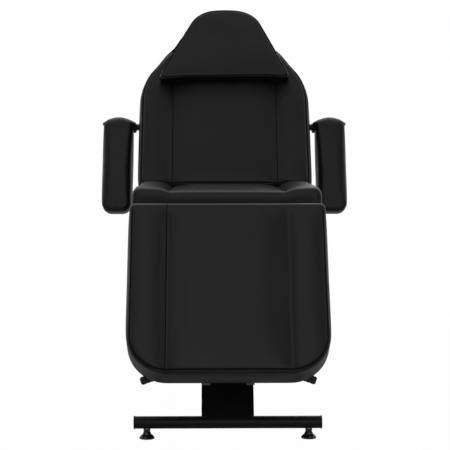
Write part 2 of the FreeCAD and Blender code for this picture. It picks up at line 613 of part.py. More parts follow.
def armrests():
    pivot = vec(0, d.back_axis_y + d.arm_along, d.arm_axis_z)
    hanging = FreeCAD.Placement(raised.multVec(pivot), FreeCAD.Rotation(X_AXIS, d.arm_angle))
    print(f"armrest pivot {raised.multVec(pivot)}")
    for name, side in (("left", -1), ("right", 1)):
        outward = X_AXIS * side
        rail_face = side * (d.rail_x + d.rail_width)
        tube_length = "arm_tube_end - rail_x - rail_width"
        outer = cylinder("arm_tube_radius", tube_length, (rail_face, pivot.y, pivot.z), outward)
        inner = cylinder("spindle_radius + running_gap", "arm_tube_end", (0, pivot.y, pivot.z), outward)
        keep(f"{name}_arm_tube", cut(outer, inner), raised)
        radius = d.arm_lug_radius
        low = d.arm_bottom - d.arm_plate
        tray_x = d.arm_inner + d.tray_inset if side > 0 else d.tray_inset - d.arm_outer
        tray = box("arm_outer - arm_inner - 2 * tray_inset", "arm_rear - arm_front - 2 * tray_end",
                   "arm_plate", (tray_x, d.arm_front + d.tray_end, low))
        bridge_x = d.arm_lug_x if side > 0 else -d.arm_inner - d.tray_inset - d.bridge_lap
        bridge = box("arm_inner + tray_inset + bridge_lap - arm_lug_x", "2 * arm_lug_radius + lug_tail",
                     "arm_plate", (bridge_x, -radius - d.lug_tail, low))
        outline = [(-radius - d.lug_tail, low, 0), (radius, low, 0), (radius, radius, radius - ROUND_TRIM),
                   (-radius, radius, radius - ROUND_TRIM)]
        lug = plate(outline, "arm_plate", d.arm_lug_x if side > 0 else -d.arm_lug_x - d.arm_plate)
        collar_x = d.arm_lug_x - d.arm_plate + d.collar_play
        collar = cylinder("collar_radius", "arm_plate", (side * collar_x, 0, 0), outward)
        spindle_place = (side * d.spindle_start, 0, 0)
        spindle = cylinder("spindle_radius", "arm_lug_x - spindle_start", spindle_place, outward)
        keep(f"{name}_armrest_bracket", fuse(tray, bridge, lug, collar, spindle), hanging)
        left, right = sorted((side * d.arm_inner, side * d.arm_outer))
        ear_y = d.arm_rear - d.arm_ear_drop
        splay = side * d.arm_splay
        corners = [(right + splay, d.arm_front, d.arm_end_radius), (right, ear_y, d.arm_ear_radius),
                   ((left + right) / 2, d.arm_rear, d.arm_arch), (left, ear_y, d.arm_ear_radius),
                   (left + splay, d.arm_front, d.arm_end_radius)]
        keep(f"{name}_armrest_pad", feature(swelling(corners, ARM_LEVELS, d.arm_bottom)), hanging)


def write_parts():
    doc.recompute()
    for thing in doc.Objects:
        if "Invalid" in thing.State or "Error" in thing.State:
            raise RuntimeError(f"{thing.Label} failed: {thing.State}")
    os.makedirs("parts", exist_ok=True)
    whole = FreeCAD.BoundBox()
    for label, thing in nodes.items():
        shape = thing.Shape
        if shape.isNull() or not shape.isValid():
            raise RuntimeError(f"{label} has no valid shape")
        whole.add(shape.optimalBoundingBox(False, False))
        shape.exportStep(f"parts/{label}.step")
    print(f"{len(nodes)} sub-parts, box {whole}")


base()
seat_frame(pedestal())
footrest_hinge()
backrest_hinge()
footrest_spring()
backrest_spring()
footrest()
backrest()
head_pillow()
armrests()
write_parts()
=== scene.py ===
import json
import math
import bpy
from mathutils import Matrix, Vector, bvhtree, kdtree


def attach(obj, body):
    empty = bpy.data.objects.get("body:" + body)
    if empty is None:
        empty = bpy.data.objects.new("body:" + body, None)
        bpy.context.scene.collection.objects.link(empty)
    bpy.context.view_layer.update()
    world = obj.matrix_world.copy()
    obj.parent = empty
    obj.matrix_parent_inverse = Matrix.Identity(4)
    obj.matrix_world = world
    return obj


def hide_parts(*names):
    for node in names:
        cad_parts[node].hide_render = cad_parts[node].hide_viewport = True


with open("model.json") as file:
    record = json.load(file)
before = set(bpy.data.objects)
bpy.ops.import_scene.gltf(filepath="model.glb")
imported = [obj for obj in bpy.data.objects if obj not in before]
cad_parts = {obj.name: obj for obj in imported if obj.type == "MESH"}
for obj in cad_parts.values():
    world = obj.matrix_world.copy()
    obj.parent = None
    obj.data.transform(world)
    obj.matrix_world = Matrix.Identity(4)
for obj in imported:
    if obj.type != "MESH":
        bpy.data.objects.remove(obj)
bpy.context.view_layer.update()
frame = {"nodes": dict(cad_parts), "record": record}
print("frame loaded:", len(frame["nodes"]), "nodes")

# The sections are modelled flat, as on the bench, and then turned about their hinges. All sizes in metres.
lengthShift = -0.28118
backHinge = Vector((0, 0.496 + lengthShift, 0.730))
footHinge = Vector((0, -0.045 + lengthShift, 0.629))
armPivot = Vector((0, 0.46920, 0.94838))
backAngle = math.radians(58)
footAngle = math.radians(59)
armAngle = math.radians(76)


def turnAbout(point, angle):
    return Matrix.Translation(point) @ Matrix.Rotation(angle, 4, "X") @ Matrix.Translation(-point)


restTurn = {
    "seat": Matrix.Identity(4),
    "backrest": turnAbout(backHinge, backAngle),
    "footrest": turnAbout(footHinge, footAngle),
    "armrest": Matrix.Translation(armPivot) @ Matrix.Rotation(armAngle, 4, "X"),
}


# above every section as it lies flat
rayStart = 0.9


def deselectAll():
    if bpy.context.mode != "OBJECT":
        bpy.ops.object.mode_set(mode="OBJECT")
    bpy.ops.object.select_all(action="DESELECT")


def makeActive(piece):
    deselectAll()
    piece.select_set(True)
    bpy.context.view_layer.objects.active = piece


def selectVerts(piece, test):
    # picks the vertices that pass the test, in edit mode with vertex select
    makeActive(piece)
    bpy.ops.object.mode_set(mode="EDIT")
    bpy.ops.mesh.select_mode(type="VERT")
    bpy.ops.mesh.select_all(action="DESELECT")
    bpy.ops.object.mode_set(mode="OBJECT")
    for vertex in piece.data.vertices:
        vertex.select = test(vertex.co)
    bpy.ops.object.mode_set(mode="EDIT")


def smoothStep(low, high, value):
    t = min(max((value - low) / (high - low), 0), 1)
    return t * t * (3 - 2 * t)


# most of a noise texture's values lie between these two
noiseLow = 0.3
noiseHigh = 0.7


def newMaterial(name):
    material = bpy.data.materials.new(name)
    material.use_nodes = True
    tree = material.node_tree
    shader = tree.nodes["Principled BSDF"]
    coords = tree.nodes.new("ShaderNodeTexCoord")
    return material, tree, shader, coords.outputs["Object"]


def noiseNode(tree, coords, scale, detail=3, rough=0.5):
    node = tree.nodes.new("ShaderNodeTexNoise")
    node.inputs["Scale"].default_value = scale
    node.inputs["Detail"].default_value = detail
    node.inputs["Roughness"].default_value = rough
    tree.links.new(coords, node.inputs["Vector"])
    return node.outputs["Fac"]


def rampNode(tree, noise, look):
    # the look's dark and light colours, mixed by a noise
    node = tree.nodes.new("ShaderNodeValToRGB")
    dark, light = node.color_ramp.elements
    dark.position = noiseLow
    dark.color = (*look["dark"], 1)
    light.position = noiseHigh
    light.color = (*look["light"], 1)
    tree.links.new(noise, node.inputs["Fac"])
    return node.outputs["Color"]


def spanNode(tree, value, low, high, fromLow=noiseLow, fromHigh=noiseHigh):
    node = tree.nodes.new("ShaderNodeMapRange")
    node.inputs["From Min"].default_value = fromLow
    node.inputs["From Max"].default_value = fromHigh
    node.inputs["To Min"].default_value = low
    node.inputs["To Max"].default_value = high
    tree.links.new(value, node.inputs["Value"])
    return node.outputs["Result"]


def bumpNode(tree, height, distance, strength, under=None):
    node = tree.nodes.new("ShaderNodeBump")
    node.inputs["Distance"].default_value = distance
    node.inputs["Strength"].default_value = strength
    tree.links.new(height, node.inputs["Height"])
    if under is not None:
        tree.links.new(under, node.inputs["Normal"])
    return node.outputs["Normal"]


def stretchedCoords(tree, coords, scale):
    node = tree.nodes.new("ShaderNodeMapping")
    node.inputs["Scale"].default_value = scale
    tree.links.new(coords, node.inputs["Vector"])
    return node.outputs["Vector"]


vinylLook = {"dark": (0.0048, 0.0048, 0.0051), "light": (0.0072, 0.0072, 0.0076), "gloss": 0.27,
             "rough": (0.36, 0.44), "cloudScale": 7, "drapeScale": 46, "drapeDepth": 0.0012,
             "drapeStrength": 0.35, "poreScale": 2400, "poreDepth": 0.00008, "poreStrength": 0.35,
             "grainScale": 760, "grainBlend": 0.6, "grainDepth": 0.00022, "grainStrength": 0.55}
# piping vinyl: a darker, duller copy of the cover vinyl, which paints the shade of the seam groove onto the
# cord
weltShadeLook = dict(vinylLook, dark=(0.003, 0.003, 0.0032), light=(0.0045, 0.0045, 0.0048), gloss=0.05)
# channel stitching: near black and dull, partly the thread's own colour and partly painted shade of the
# channel groove
threadShadeLook = dict(vinylLook, dark=(0.0008, 0.0008, 0.0009), light=(0.0012, 0.0012, 0.0013), gloss=0.02,
                  rough=(0.6, 0.7))


def makeVinyl(name, look):
    # pebbled faux leather: pressed grain cells, a fine pore noise and slow changes of sheen
    material, tree, shader, coords = newMaterial(name)
    cells = tree.nodes.new("ShaderNodeTexVoronoi")
    cells.feature = "SMOOTH_F1"
    cells.inputs["Scale"].default_value = look["grainScale"]
    cells.inputs["Smoothness"].default_value = look["grainBlend"]
    tree.links.new(coords, cells.inputs["Vector"])
    grain = cells.outputs["Distance"]
    pores = noiseNode(tree, coords, look["poreScale"], 2)
    drape = noiseNode(tree, coords, look["drapeScale"], 3)
    cloud = noiseNode(tree, coords, look["cloudScale"], 4)
    softNormal = bumpNode(tree, drape, look["drapeDepth"], look["drapeStrength"])
    poreNormal = bumpNode(tree, pores, look["poreDepth"], look["poreStrength"], softNormal)
    grainNormal = bumpNode(tree, grain, look["grainDepth"], look["grainStrength"], poreNormal)
    tree.links.new(rampNode(tree, cloud, look), shader.inputs["Base Color"])
    tree.links.new(spanNode(tree, cloud, *look["rough"]), shader.inputs["Roughness"])
    tree.links.new(grainNormal, shader.inputs["Normal"])
    shader.inputs["Specular IOR Level"].default_value = look["gloss"]
    return material


steelLook = {"dark": (0.004, 0.004, 0.0044), "light": (0.007, 0.007, 0.0074), "gloss": 0.18,
             "rough": (0.34, 0.48), "cloudScale": 11, "peelScale": 520, "peelDepth": 0.0003,
             "peelStrength": 0.3, "speckleScale": 1900, "speckleDepth": 0.0001, "speckleStrength": 0.25}


def makePaintedSteel(name, look):
    # powder coat: orange peel and a faint speckle
    material, tree, shader, coords = newMaterial(name)
    peel = noiseNode(tree, coords, look["peelScale"], 2)
    speckle = noiseNode(tree, coords, look["speckleScale"], 1)
    cloud = noiseNode(tree, coords, look["cloudScale"], 3)
    peelNormal = bumpNode(tree, peel, look["peelDepth"], look["peelStrength"])
    speckleNormal = bumpNode(tree, speckle, look["speckleDepth"], look["speckleStrength"], peelNormal)
    tree.links.new(speckleNormal, shader.inputs["Normal"])
    tree.links.new(rampNode(tree, cloud, look), shader.inputs["Base Color"])
    tree.links.new(spanNode(tree, peel, *look["rough"]), shader.inputs["Roughness"])
    shader.inputs["Specular IOR Level"].default_value = look["gloss"]
    return material


zincLook = {"dark": (0.30, 0.30, 0.31), "light": (0.42, 0.42, 0.43), "rough": (0.24, 0.42), "cloudScale": 35,
            "streakScale": (900, 900, 60), "streakDepth": 0.00006, "streakStrength": 0.3}
chromeLook = dict(zincLook, dark=(0.62, 0.62, 0.63), light=(0.72, 0.72, 0.73), rough=(0.06, 0.14),
                  streakScale=(500, 60, 500), streakDepth=0.00002)


def makeBareMetal(name, look):
    # plated or polished steel with fine streaks along the turning
    material, tree, shader, coords = newMaterial(name)
    streaks = noiseNode(tree, stretchedCoords(tree, coords, look["streakScale"]), 1, 4)
    cloud = noiseNode(tree, coords, look["cloudScale"], 3)
    tree.links.new(rampNode(tree, cloud, look), shader.inputs["Base Color"])
    tree.links.new(spanNode(tree, streaks, *look["rough"]), shader.inputs["Roughness"])
    streakNormal = bumpNode(tree, streaks, look["streakDepth"], look["streakStrength"])
    tree.links.new(streakNormal, shader.inputs["Normal"])
    shader.inputs["Metallic"].default_value = 1
    return material


plasticLook = {"dark": (0.008, 0.008, 0.008), "light": (0.013, 0.013, 0.013), "gloss": 0.25,
               "rough": (0.42, 0.55), "cloudScale": 24, "textureScale": 1300, "textureRough": 0.6,
               "textureDepth": 0.00012, "textureStrength": 0.4}
gripLook = dict(plasticLook, dark=(0.028, 0.028, 0.028), light=(0.042, 0.042, 0.042), gloss=0.2,
                rough=(0.6, 0.75), textureScale=900, textureDepth=0.0002)
glossyLook = dict(plasticLook, light=(0.014, 0.014, 0.014), gloss=0.5, rough=(0.12, 0.2), textureScale=300,
                  textureDepth=0.00004)
plugLook = dict(plasticLook, dark=(0.15, 0.15, 0.15), light=(0.19, 0.19, 0.19), gloss=0.3, rough=(0.45, 0.6),
                textureScale=1200, textureDepth=0.0001)


def makeMoulded(name, look):
    # moulded plastic and rubber: an even spark-eroded texture
    material, tree, shader, coords = newMaterial(name)
    texture = noiseNode(tree, coords, look["textureScale"], 2, look["textureRough"])
    cloud = noiseNode(tree, coords, look["cloudScale"], 3)
    tree.links.new(rampNode(tree, cloud, look), shader.inputs["Base Color"])
    tree.links.new(spanNode(tree, texture, *look["rough"]), shader.inputs["Roughness"])
    textureNormal = bumpNode(tree, texture, look["textureDepth"], look["textureStrength"])
    tree.links.new(textureNormal, shader.inputs["Normal"])
    shader.inputs["Specular IOR Level"].default_value = look["gloss"]
    return material


dustLook = {"dark": (0.008, 0.008, 0.0085), "light": (0.022, 0.022, 0.023), "gloss": 0.15,
            "rough": (0.8, 0.95), "fibreScale": (900, 260, 600), "fibreRough": 0.7, "fibreDepth": 0.0004,
            "fibreStrength": 0.5, "dotScale": 420, "dotDepth": 0.0003, "dotStrength": 0.4}


def makeDustCover(name, look):
    # bonded black fibre cloth stapled under the boards
    material, tree, shader, coords = newMaterial(name)
    fibres = noiseNode(tree, stretchedCoords(tree, coords, look["fibreScale"]), 1, 4, look["fibreRough"])
    dots = tree.nodes.new("ShaderNodeTexVoronoi")
    dots.inputs["Scale"].default_value = look["dotScale"]
    tree.links.new(coords, dots.inputs["Vector"])
    fibreNormal = bumpNode(tree, fibres, look["fibreDepth"], look["fibreStrength"])
    dotNormal = bumpNode(tree, dots.outputs["Distance"], look["dotDepth"], look["dotStrength"], fibreNormal)
    tree.links.new(dotNormal, shader.inputs["Normal"])
    tree.links.new(rampNode(tree, fibres, look), shader.inputs["Base Color"])
    tree.links.new(spanNode(tree, fibres, *look["rough"]), shader.inputs["Roughness"])
    shader.inputs["Specular IOR Level"].default_value = look["gloss"]
    return material


finishes = {
    "black_vinyl": makeVinyl("blackVinyl", vinylLook),
    "black_steel": makePaintedSteel("blackPowderCoat", steelLook),
    "board": makeDustCover("dustCover", dustLook),
    "black_plastic": makeMoulded("blackPlastic", plasticLook),
    "rubber_grip": makeMoulded("gripRubber", gripLook),
    "zinc_steel": makeBareMetal("zincPlate", zincLook),
    "chrome_rod": makeBareMetal("chromeRod", chromeLook),
}
print("materials made:", len(finishes))

for part in frame["record"]["subparts"]:
    node = frame["nodes"][part["node"]]
    node.data.materials.clear()
    node.data.materials.append(finishes[part["material_slot"]])
shadedWeltVinyl = makeVinyl("shadedWeltVinyl", weltShadeLook)
seamThreadShade = makeVinyl("seamThreadShade", threadShadeLook)
glossyBlack = makeMoulded("glossyBlack", glossyLook)
for foot in ("front_left_foot", "front_right_foot", "rear_left_foot", "rear_right_foot"):
    frame["nodes"][foot].data.materials[0] = glossyBlack
frame["nodes"]["footrest_rail_plugs"].data.materials[0] = makeMoulded("greyPlug", plugLook)
print("finishes put on the frame")


blankLook = {"cornerSegments": 12, "rimSegments": 6, "samePlace": 1e-5}


def roundedBlank(name, corners, look):
    # a flat panel with rounded corners, pulled up and softened along both rims
    bottom = look["bottom"]
    height = look["height"]
    deselectAll()
    bpy.ops.mesh.primitive_circle_add(vertices=len(corners), radius=1, fill_type="NGON")
    piece = bpy.context.active_object
    piece.name = name
    piece.data.name = name
    for vertex, (x, y, radius) in zip(piece.data.vertices, corners):
        vertex.co = (x, y, bottom)
    for index, (x, y, radius) in enumerate(corners):
        here = Vector((x, y))
        before = (Vector(corners[index - 1][:2]) - here).normalized()
        after = (Vector(corners[(index + 1) % len(corners)][:2]) - here).normalized()
        trim = radius / math.tan(before.angle(after) / 2)
        selectVerts(piece, lambda co: (co.xy - here).length < blankLook["samePlace"])
        bpy.ops.mesh.bevel(offset=trim, offset_type="OFFSET", segments=blankLook["cornerSegments"],
                           affect="VERTICES", clamp_overlap=True)
    bpy.ops.mesh.select_all(action="SELECT")
    bpy.ops.mesh.extrude_region_move(TRANSFORM_OT_translate={"value": (0, 0, height)})
    for level, rim in ((bottom + height, look["topRim"]), (bottom, look["bottomRim"])):
        selectVerts(piece, lambda co: abs(co.z - level) < blankLook["samePlace"])
        bpy.ops.mesh.bevel(offset=rim, offset_type="OFFSET", segments=blankLook["rimSegments"],
                           affect="EDGES", clamp_overlap=True)
    bpy.ops.mesh.select_all(action="SELECT")
    bpy.ops.mesh.normals_make_consistent(inside=False)
    bpy.ops.object.mode_set(mode="OBJECT")
    return piece


def remesh(piece, voxel):
    makeActive(piece)
    piece.data.remesh_voxel_size = voxel
    bpy.ops.object.voxel_remesh()


ringLook = {"step": 0.006, "leastRadius": 0.004}


def outlineRing(corners, inset, height, step=ringLook["step"]):
    # evenly spaced points round the rounded outline, drawn in by inset
    points = []
    count = len(corners)
    for index, (x, y, radius) in enumerate(corners):
        here = Vector((x, y))
        before = (Vector(corners[index - 1][:2]) - here).normalized()
        after = (Vector(corners[(index + 1) % count][:2]) - here).normalized()
        half = before.angle(after) / 2
        centre = here + (before + after).normalized() * (radius / math.sin(half))
        first = here + before * (radius / math.tan(half)) - centre
        last = here + after * (radius / math.tan(half)) - centre
        sweep = first.angle_signed(last)
        share = max(radius - inset, ringLook["leastRadius"]) / radius
        parts = max(int(abs(sweep) * radius / step), 2)
        for part in range(parts + 1):
            turn = Matrix.Rotation(-sweep * part / parts, 2)
            points.append(centre + turn @ first * share)
    ring = []
    for here, ahead in zip(points, points[1:] + points[:1]):
        pieces = max(int((ahead - here).length / step), 1)
        for part in range(pieces):
            spot = here.lerp(ahead, part / pieces)
            ring.append(Vector((spot.x, spot.y, height)))
    return ring


def treeOf(points):
    tree = kdtree.KDTree(len(points))
    for index, point in enumerate(points):
        tree.insert(point, index)
    tree.balance()
    return tree


def surfaceOf(piece, turn):
    # the faces of a piece, turned, to cast rays at or to find the nearest place on
    return bvhtree.BVHTree.FromPolygons([turn @ vertex.co for vertex in piece.data.vertices],
                                        [tuple(face.vertices) for face in piece.data.polygons])


def evenOut(piece, moves, pinned, passes):
    # averages the moves of neighbouring vertices, so that no lone dimple stays
    edges = [tuple(edge.vertices) for edge in piece.data.edges]
    for turn in range(passes):
        sums = [move.copy() for move in moves]
        counts = [1] * len(moves)
        for first, second in edges:
            sums[first] += moves[second]
            sums[second] += moves[first]
            counts[first] += 1
            counts[second] += 1
        moves = [total / count for total, count in zip(sums, counts)]
        for index in pinned:
            moves[index] = Vector((0, 0, 0))
    return moves


clothLook = {"quality": 5, "mass": 0.3, "stretch": 18, "bend": 5, "frames": 20, "least": 1e-9}


def puff(piece, pinned, look):
    # blows the cover up from inside with its seams held, and limits how far it goes
    held = piece.vertex_groups.new(name="sewn")
    held.add(pinned, 1, "REPLACE")
    before = [vertex.co.copy() for vertex in piece.data.vertices]
    cloth = piece.modifiers.new("cover", "CLOTH")
    cover = cloth.settings
    cover.vertex_group_mass = "sewn"
    cover.quality = clothLook["quality"]
    cover.mass = clothLook["mass"]
    cover.tension_stiffness = clothLook["stretch"]
    cover.compression_stiffness = clothLook["stretch"]
    cover.bending_stiffness = clothLook["bend"]
    cover.shrink_min = -look["slack"]
    cover.use_pressure = True
    cover.uniform_pressure_force = look["pressure"]
    cover.effector_weights.gravity = 0
    scene = bpy.context.scene
    for step in range(clothLook["frames"]):
        scene.frame_set(step + 1)
    makeActive(piece)
    bpy.ops.object.modifier_apply(modifier="cover")
    scene.frame_set(1)
    moves = [vertex.co - start for vertex, start in zip(piece.data.vertices, before)]
    furthest = max(move.length for move in moves)
    cap = look["cap"]
    least = clothLook["least"]
    capped = [move * (cap * math.tanh(move.length / cap) / max(move.length, least)) for move in moves]
    evened = evenOut(piece, capped, pinned, look["evenPasses"])
    for vertex, start, move in zip(piece.data.vertices, before, evened):
        vertex.co = start + move
    piece.vertex_groups.clear()
    print(piece.name, "puffed by", round(furthest * 1000, 1), "mm before the cap")


def finishSoft(piece, turn, body, node):
    makeActive(piece)
    subdivision = piece.modifiers.new("smooth", "SUBSURF")
    subdivision.levels = 1
    subdivision.render_levels = 1
    bpy.ops.object.modifier_apply(modifier="smooth")
    bpy.ops.object.shade_smooth()
    piece.data.materials.clear()
    piece.data.materials.append(finishes["black_vinyl"])
    piece.data.transform(turn)
    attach(piece, body)
    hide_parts(node)
    print(piece.name, "done:", len(piece.data.polygons), "faces")


strandLook = {"evenPasses": 4, "roundness": 3}


def weltRing(name, ring, cover, radius, turn, body, closed):
    # a piping cord laid on the seam of a finished cover, drawn darker than the cover as painted shade of the
    # seam groove
    surface = surfaceOf(cover, Matrix.Identity(4))
    laid = []
    for point in ring:
        place, normal, face, distance = surface.find_nearest(turn @ point)
        laid.append(place)
    first, last = (0, len(laid)) if closed else (1, len(laid) - 1)
    for smoothing in range(strandLook["evenPasses"]):
        smooth = [(laid[i - 1] + laid[i] * 2 + laid[(i + 1) % len(laid)]) / 4 for i in range(first, last)]
        laid[first:last] = smooth
    welt = tubeAlong(name, [laid], radius, closed)
    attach(welt, body)


def tubeAlong(name, runs, radius, closed):
    # round strands along lists of points, as one mesh
    curve = bpy.data.curves.new(name, "CURVE")
    curve.dimensions = "3D"
    curve.bevel_depth = radius
    curve.bevel_resolution = strandLook["roundness"]
    curve.use_fill_caps = True
    for run in runs:
        spline = curve.splines.new("POLY")
        spline.points.add(len(run) - 1)
        for knot, point in zip(spline.points, run):
            knot.co = (*point, 1)
        spline.use_cyclic_u = closed
    strand = bpy.data.objects.new(name, curve)
    bpy.context.scene.collection.objects.link(strand)
    makeActive(strand)
    bpy.ops.object.convert(target="MESH")
    strand = bpy.context.active_object
    bpy.ops.object.shade_smooth()
    strand.data.materials.clear()
    # every strand takes the darker piping vinyl: painted shade along the seam
    strand.data.materials.append(shadedWeltVinyl)
    return strand


def channelSeamShades(name, cover, corners, channelStrength, turn, body):
    # the stitched fold at the bottom of each channel, laid as a near-black strand: partly the stitching,
    # partly painted shade of the groove
    look = sectionLook
    surface = surfaceOf(cover, turn.inverted())
    low = min(y for x, y, radius in corners) + look["stitchMargin"]
    high = max(y for x, y, radius in corners) - look["stitchMargin"]
    runs = []
    for side, strength in zip((-1, 1), channelStrength):
        if strength < look["stitchFrom"]:
            continue
        run = []
        steps = int((high - low) / look["stitchStep"])
        sunk = Vector((0, 0, (look["stitchSink"] - strength) * look["stitchRadius"]))
        for step in range(steps + 1):
            y = low + (high - low) * step / steps
            place = surface.ray_cast(Vector((side * look["channelX"], y, rayStart)), Vector((0, 0, -1)))[0]
            if place is not None and place.z > look["topFrom"]:
                run.append(turn @ (place - sunk))
        runs.append(run)
    seams = tubeAlong(name, runs, look["stitchRadius"], False)
    # the near-black strand paints the shade along the bottom of the channel
    seams.data.materials[0] = seamThreadShade
    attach(seams, body)


def bothSides(half):
    # the corners of the right half and of its mirror image, moved to their place along the frame
    corners = half + [(-x, y, radius) for x, y, radius in reversed(half) if x > 0]
    return [(x, y + lengthShift, radius) for x, y, radius in corners]


# a section has piping where y is under sewnBelow, and its rolls level out towards the end at flatFrom
farOff = 9
sectionLook = {"bottom": 0.643, "height": 0.102, "halfWidth": 0.300, "topRim": 0.018, "bottomRim": 0.006,
               "voxel": 0.0066, "liftFrom": 0.03, "liftTo": 0.012, "baseReach": 0.004, "topFrom": 0.70,
               "rollTop": 0.747, "centreTop": 0.742, "edgeTop": 0.742, "valleyDrop": 0.002, "channelX": 0.185,
               "channelDepth": 0.013, "channelWidth": 0.013, "channelHold": 0.005, "seamInset": 0.009,
               "seamHeight": 0.740, "seamPinch": 0.005, "seamReach": 0.010, "seamHold": 0.006, "pressure": 4,
               "cap": 0.005, "slack": 0.001, "evenPasses": 2, "weltRadius": 0.0027, "stitchRadius": 0.0016,
               "stitchFrom": 0.75, "stitchMargin": 0.004, "stitchStep": 0.008, "stitchSink": 1.4,
               "sewnBelow": farOff, "flatFrom": farOff, "flatReach": 0.07, "flatTop": 0.745, "endShare": 1,
               "heldReach": 0.03}
seatLook = dict(sectionLook, topRim=0.019, rollTop=0.762, centreTop=0.750, edgeTop=0.754, sewnBelow=-farOff,
                flatFrom=lengthShift, endShare=0.75)
footLook = dict(sectionLook, topRim=0.015, sewnBelow=-0.035 + lengthShift, flatFrom=-0.008 + lengthShift,
                endShare=0.1)


def sewnTop(look, x, channelStrength, level):
    # height of the sewn top across the width: two side rolls and a middle panel, which fade at a flat end
    channelX = look["channelX"]
    valley = look["centreTop"] - look["valleyDrop"]
    if abs(x) < channelX:
        t = x / channelX
        top = valley + (look["centreTop"] - valley) * (1 - t * t)
    else:
        t = (abs(x) - channelX) / (look["halfWidth"] - channelX)
        crown = 1 - (2 * t - 1) ** 4
        rise = look["rollTop"] - 0.5 * (valley + look["edgeTop"])
        top = valley + (look["edgeTop"] - valley) * t + rise * crown
    top = look["flatTop"] + (top - look["flatTop"]) * (look["endShare"] + (1 - look["endShare"]) * level)
    for side, strength in zip((-1, 1), channelStrength):
        away = abs(x - side * channelX)
        top -= look["channelDepth"] * strength * level * math.exp(-away / look["channelWidth"])
    return top


def makeSection(name, look, corners, turn, body, node, channelStrength):
    piece = roundedBlank(name, corners, look)
    remesh(piece, look["voxel"])
    flatTop = look["bottom"] + look["height"]
    ring = outlineRing(corners, look["seamInset"], look["seamHeight"])
    bare = [point.y >= look["sewnBelow"] for point in ring]
    closed = not any(bare)
    if not closed:
        # the run starts behind the part of the ring that has no piping
        start = max(range(len(ring)), key=lambda i: bare[i - 1] - bare[i])
        ring = [point for point in ring[start:] + ring[:start] if point.y < look["sewnBelow"]]
    seam = treeOf(ring)
    pinned = []
    for vertex in piece.data.vertices:
        co = vertex.co
        share = smoothStep(look["bottom"] + look["liftFrom"], flatTop - look["liftTo"], co.z)
        level = smoothStep(0, look["flatReach"], abs(look["flatFrom"] - co.y))
        co.z += (sewnTop(look, co.x, channelStrength, level) - flatTop) * share
        if co.z < look["bottom"] + look["baseReach"]:
            pinned.append(vertex.index)
            continue
        inChannel = co.z > look["topFrom"] and abs(abs(co.x) - look["channelX"]) < look["channelHold"]
        atEnd = abs(co.y - look["flatFrom"]) < look["heldReach"]
        if atEnd or inChannel:
            pinned.append(vertex.index)
        if not ring:
            continue
        place, index, distance = seam.find(co)
        if distance < look["seamReach"]:
            co -= vertex.normal * look["seamPinch"] * (1 - distance / look["seamReach"])
            if distance < look["seamHold"]:
                pinned.append(vertex.index)
    puff(piece, pinned, look)
    finishSoft(piece, turn, body, node)
    if ring:
        weltRing(name + "Welt", ring, piece, look["weltRadius"], turn, body, closed)
    channelSeamShades(name + "Seams", piece, corners, channelStrength, turn, body)
    return piece


seatCorners = bothSides([(0.300, 0.0, 0.020), (0.300, 0.480, 0.020)])
footCorners = bothSides([(0.300, -0.561, 0.120), (0.300, -0.008, 0.016)])
backCorners = bothSides([(0.304, 0.512, 0.020), (0.304, 0.933, 0.212), (0.192, 1.088, 0.300),
                         (0.100, 1.238, 0.090), (0, 1.248, 0.400)])
makeSection("seatPad", seatLook, seatCorners, restTurn["seat"], "base", "seat_cushion", (0.8, 0.8))
makeSection("footrestPad", footLook, footCorners, restTurn["footrest"], "footrest", "footrest_cushion",
            (1.0, 0.7))
backrestPad = makeSection("backrestPad", sectionLook, backCorners, restTurn["backrest"], "backrest",
                          "backrest_cushion", (0.9, 0.9))


pillowLook = {"bottom": 0.7425, "height": 0.044, "topRim": 0.012, "bottomRim": 0.008, "voxel": 0.005,
              "tightCorner": 0.02, "middle": 1.08, "sidePull": 0.005, "pullFrom": 0.01, "pullReach": 0.10,
              "pullSpan": 0.15, "fadeFrom": 1.06, "fadeTo": 1.20, "lean": 0.024, "edgeTilt": 0.016,
              "tiltReach": 0.15, "seamInset": 0.005, "seamHeight": 0.784, "seamPinch": 0.003,
              "seamReach": 0.008, "seamHold": 0.005, "underNormal": -0.5, "pressure": 1.2, "cap": 0.007,
              "slack": 0, "evenPasses": 24, "weltRadius": 0.0024, "restGap": 0.0012}


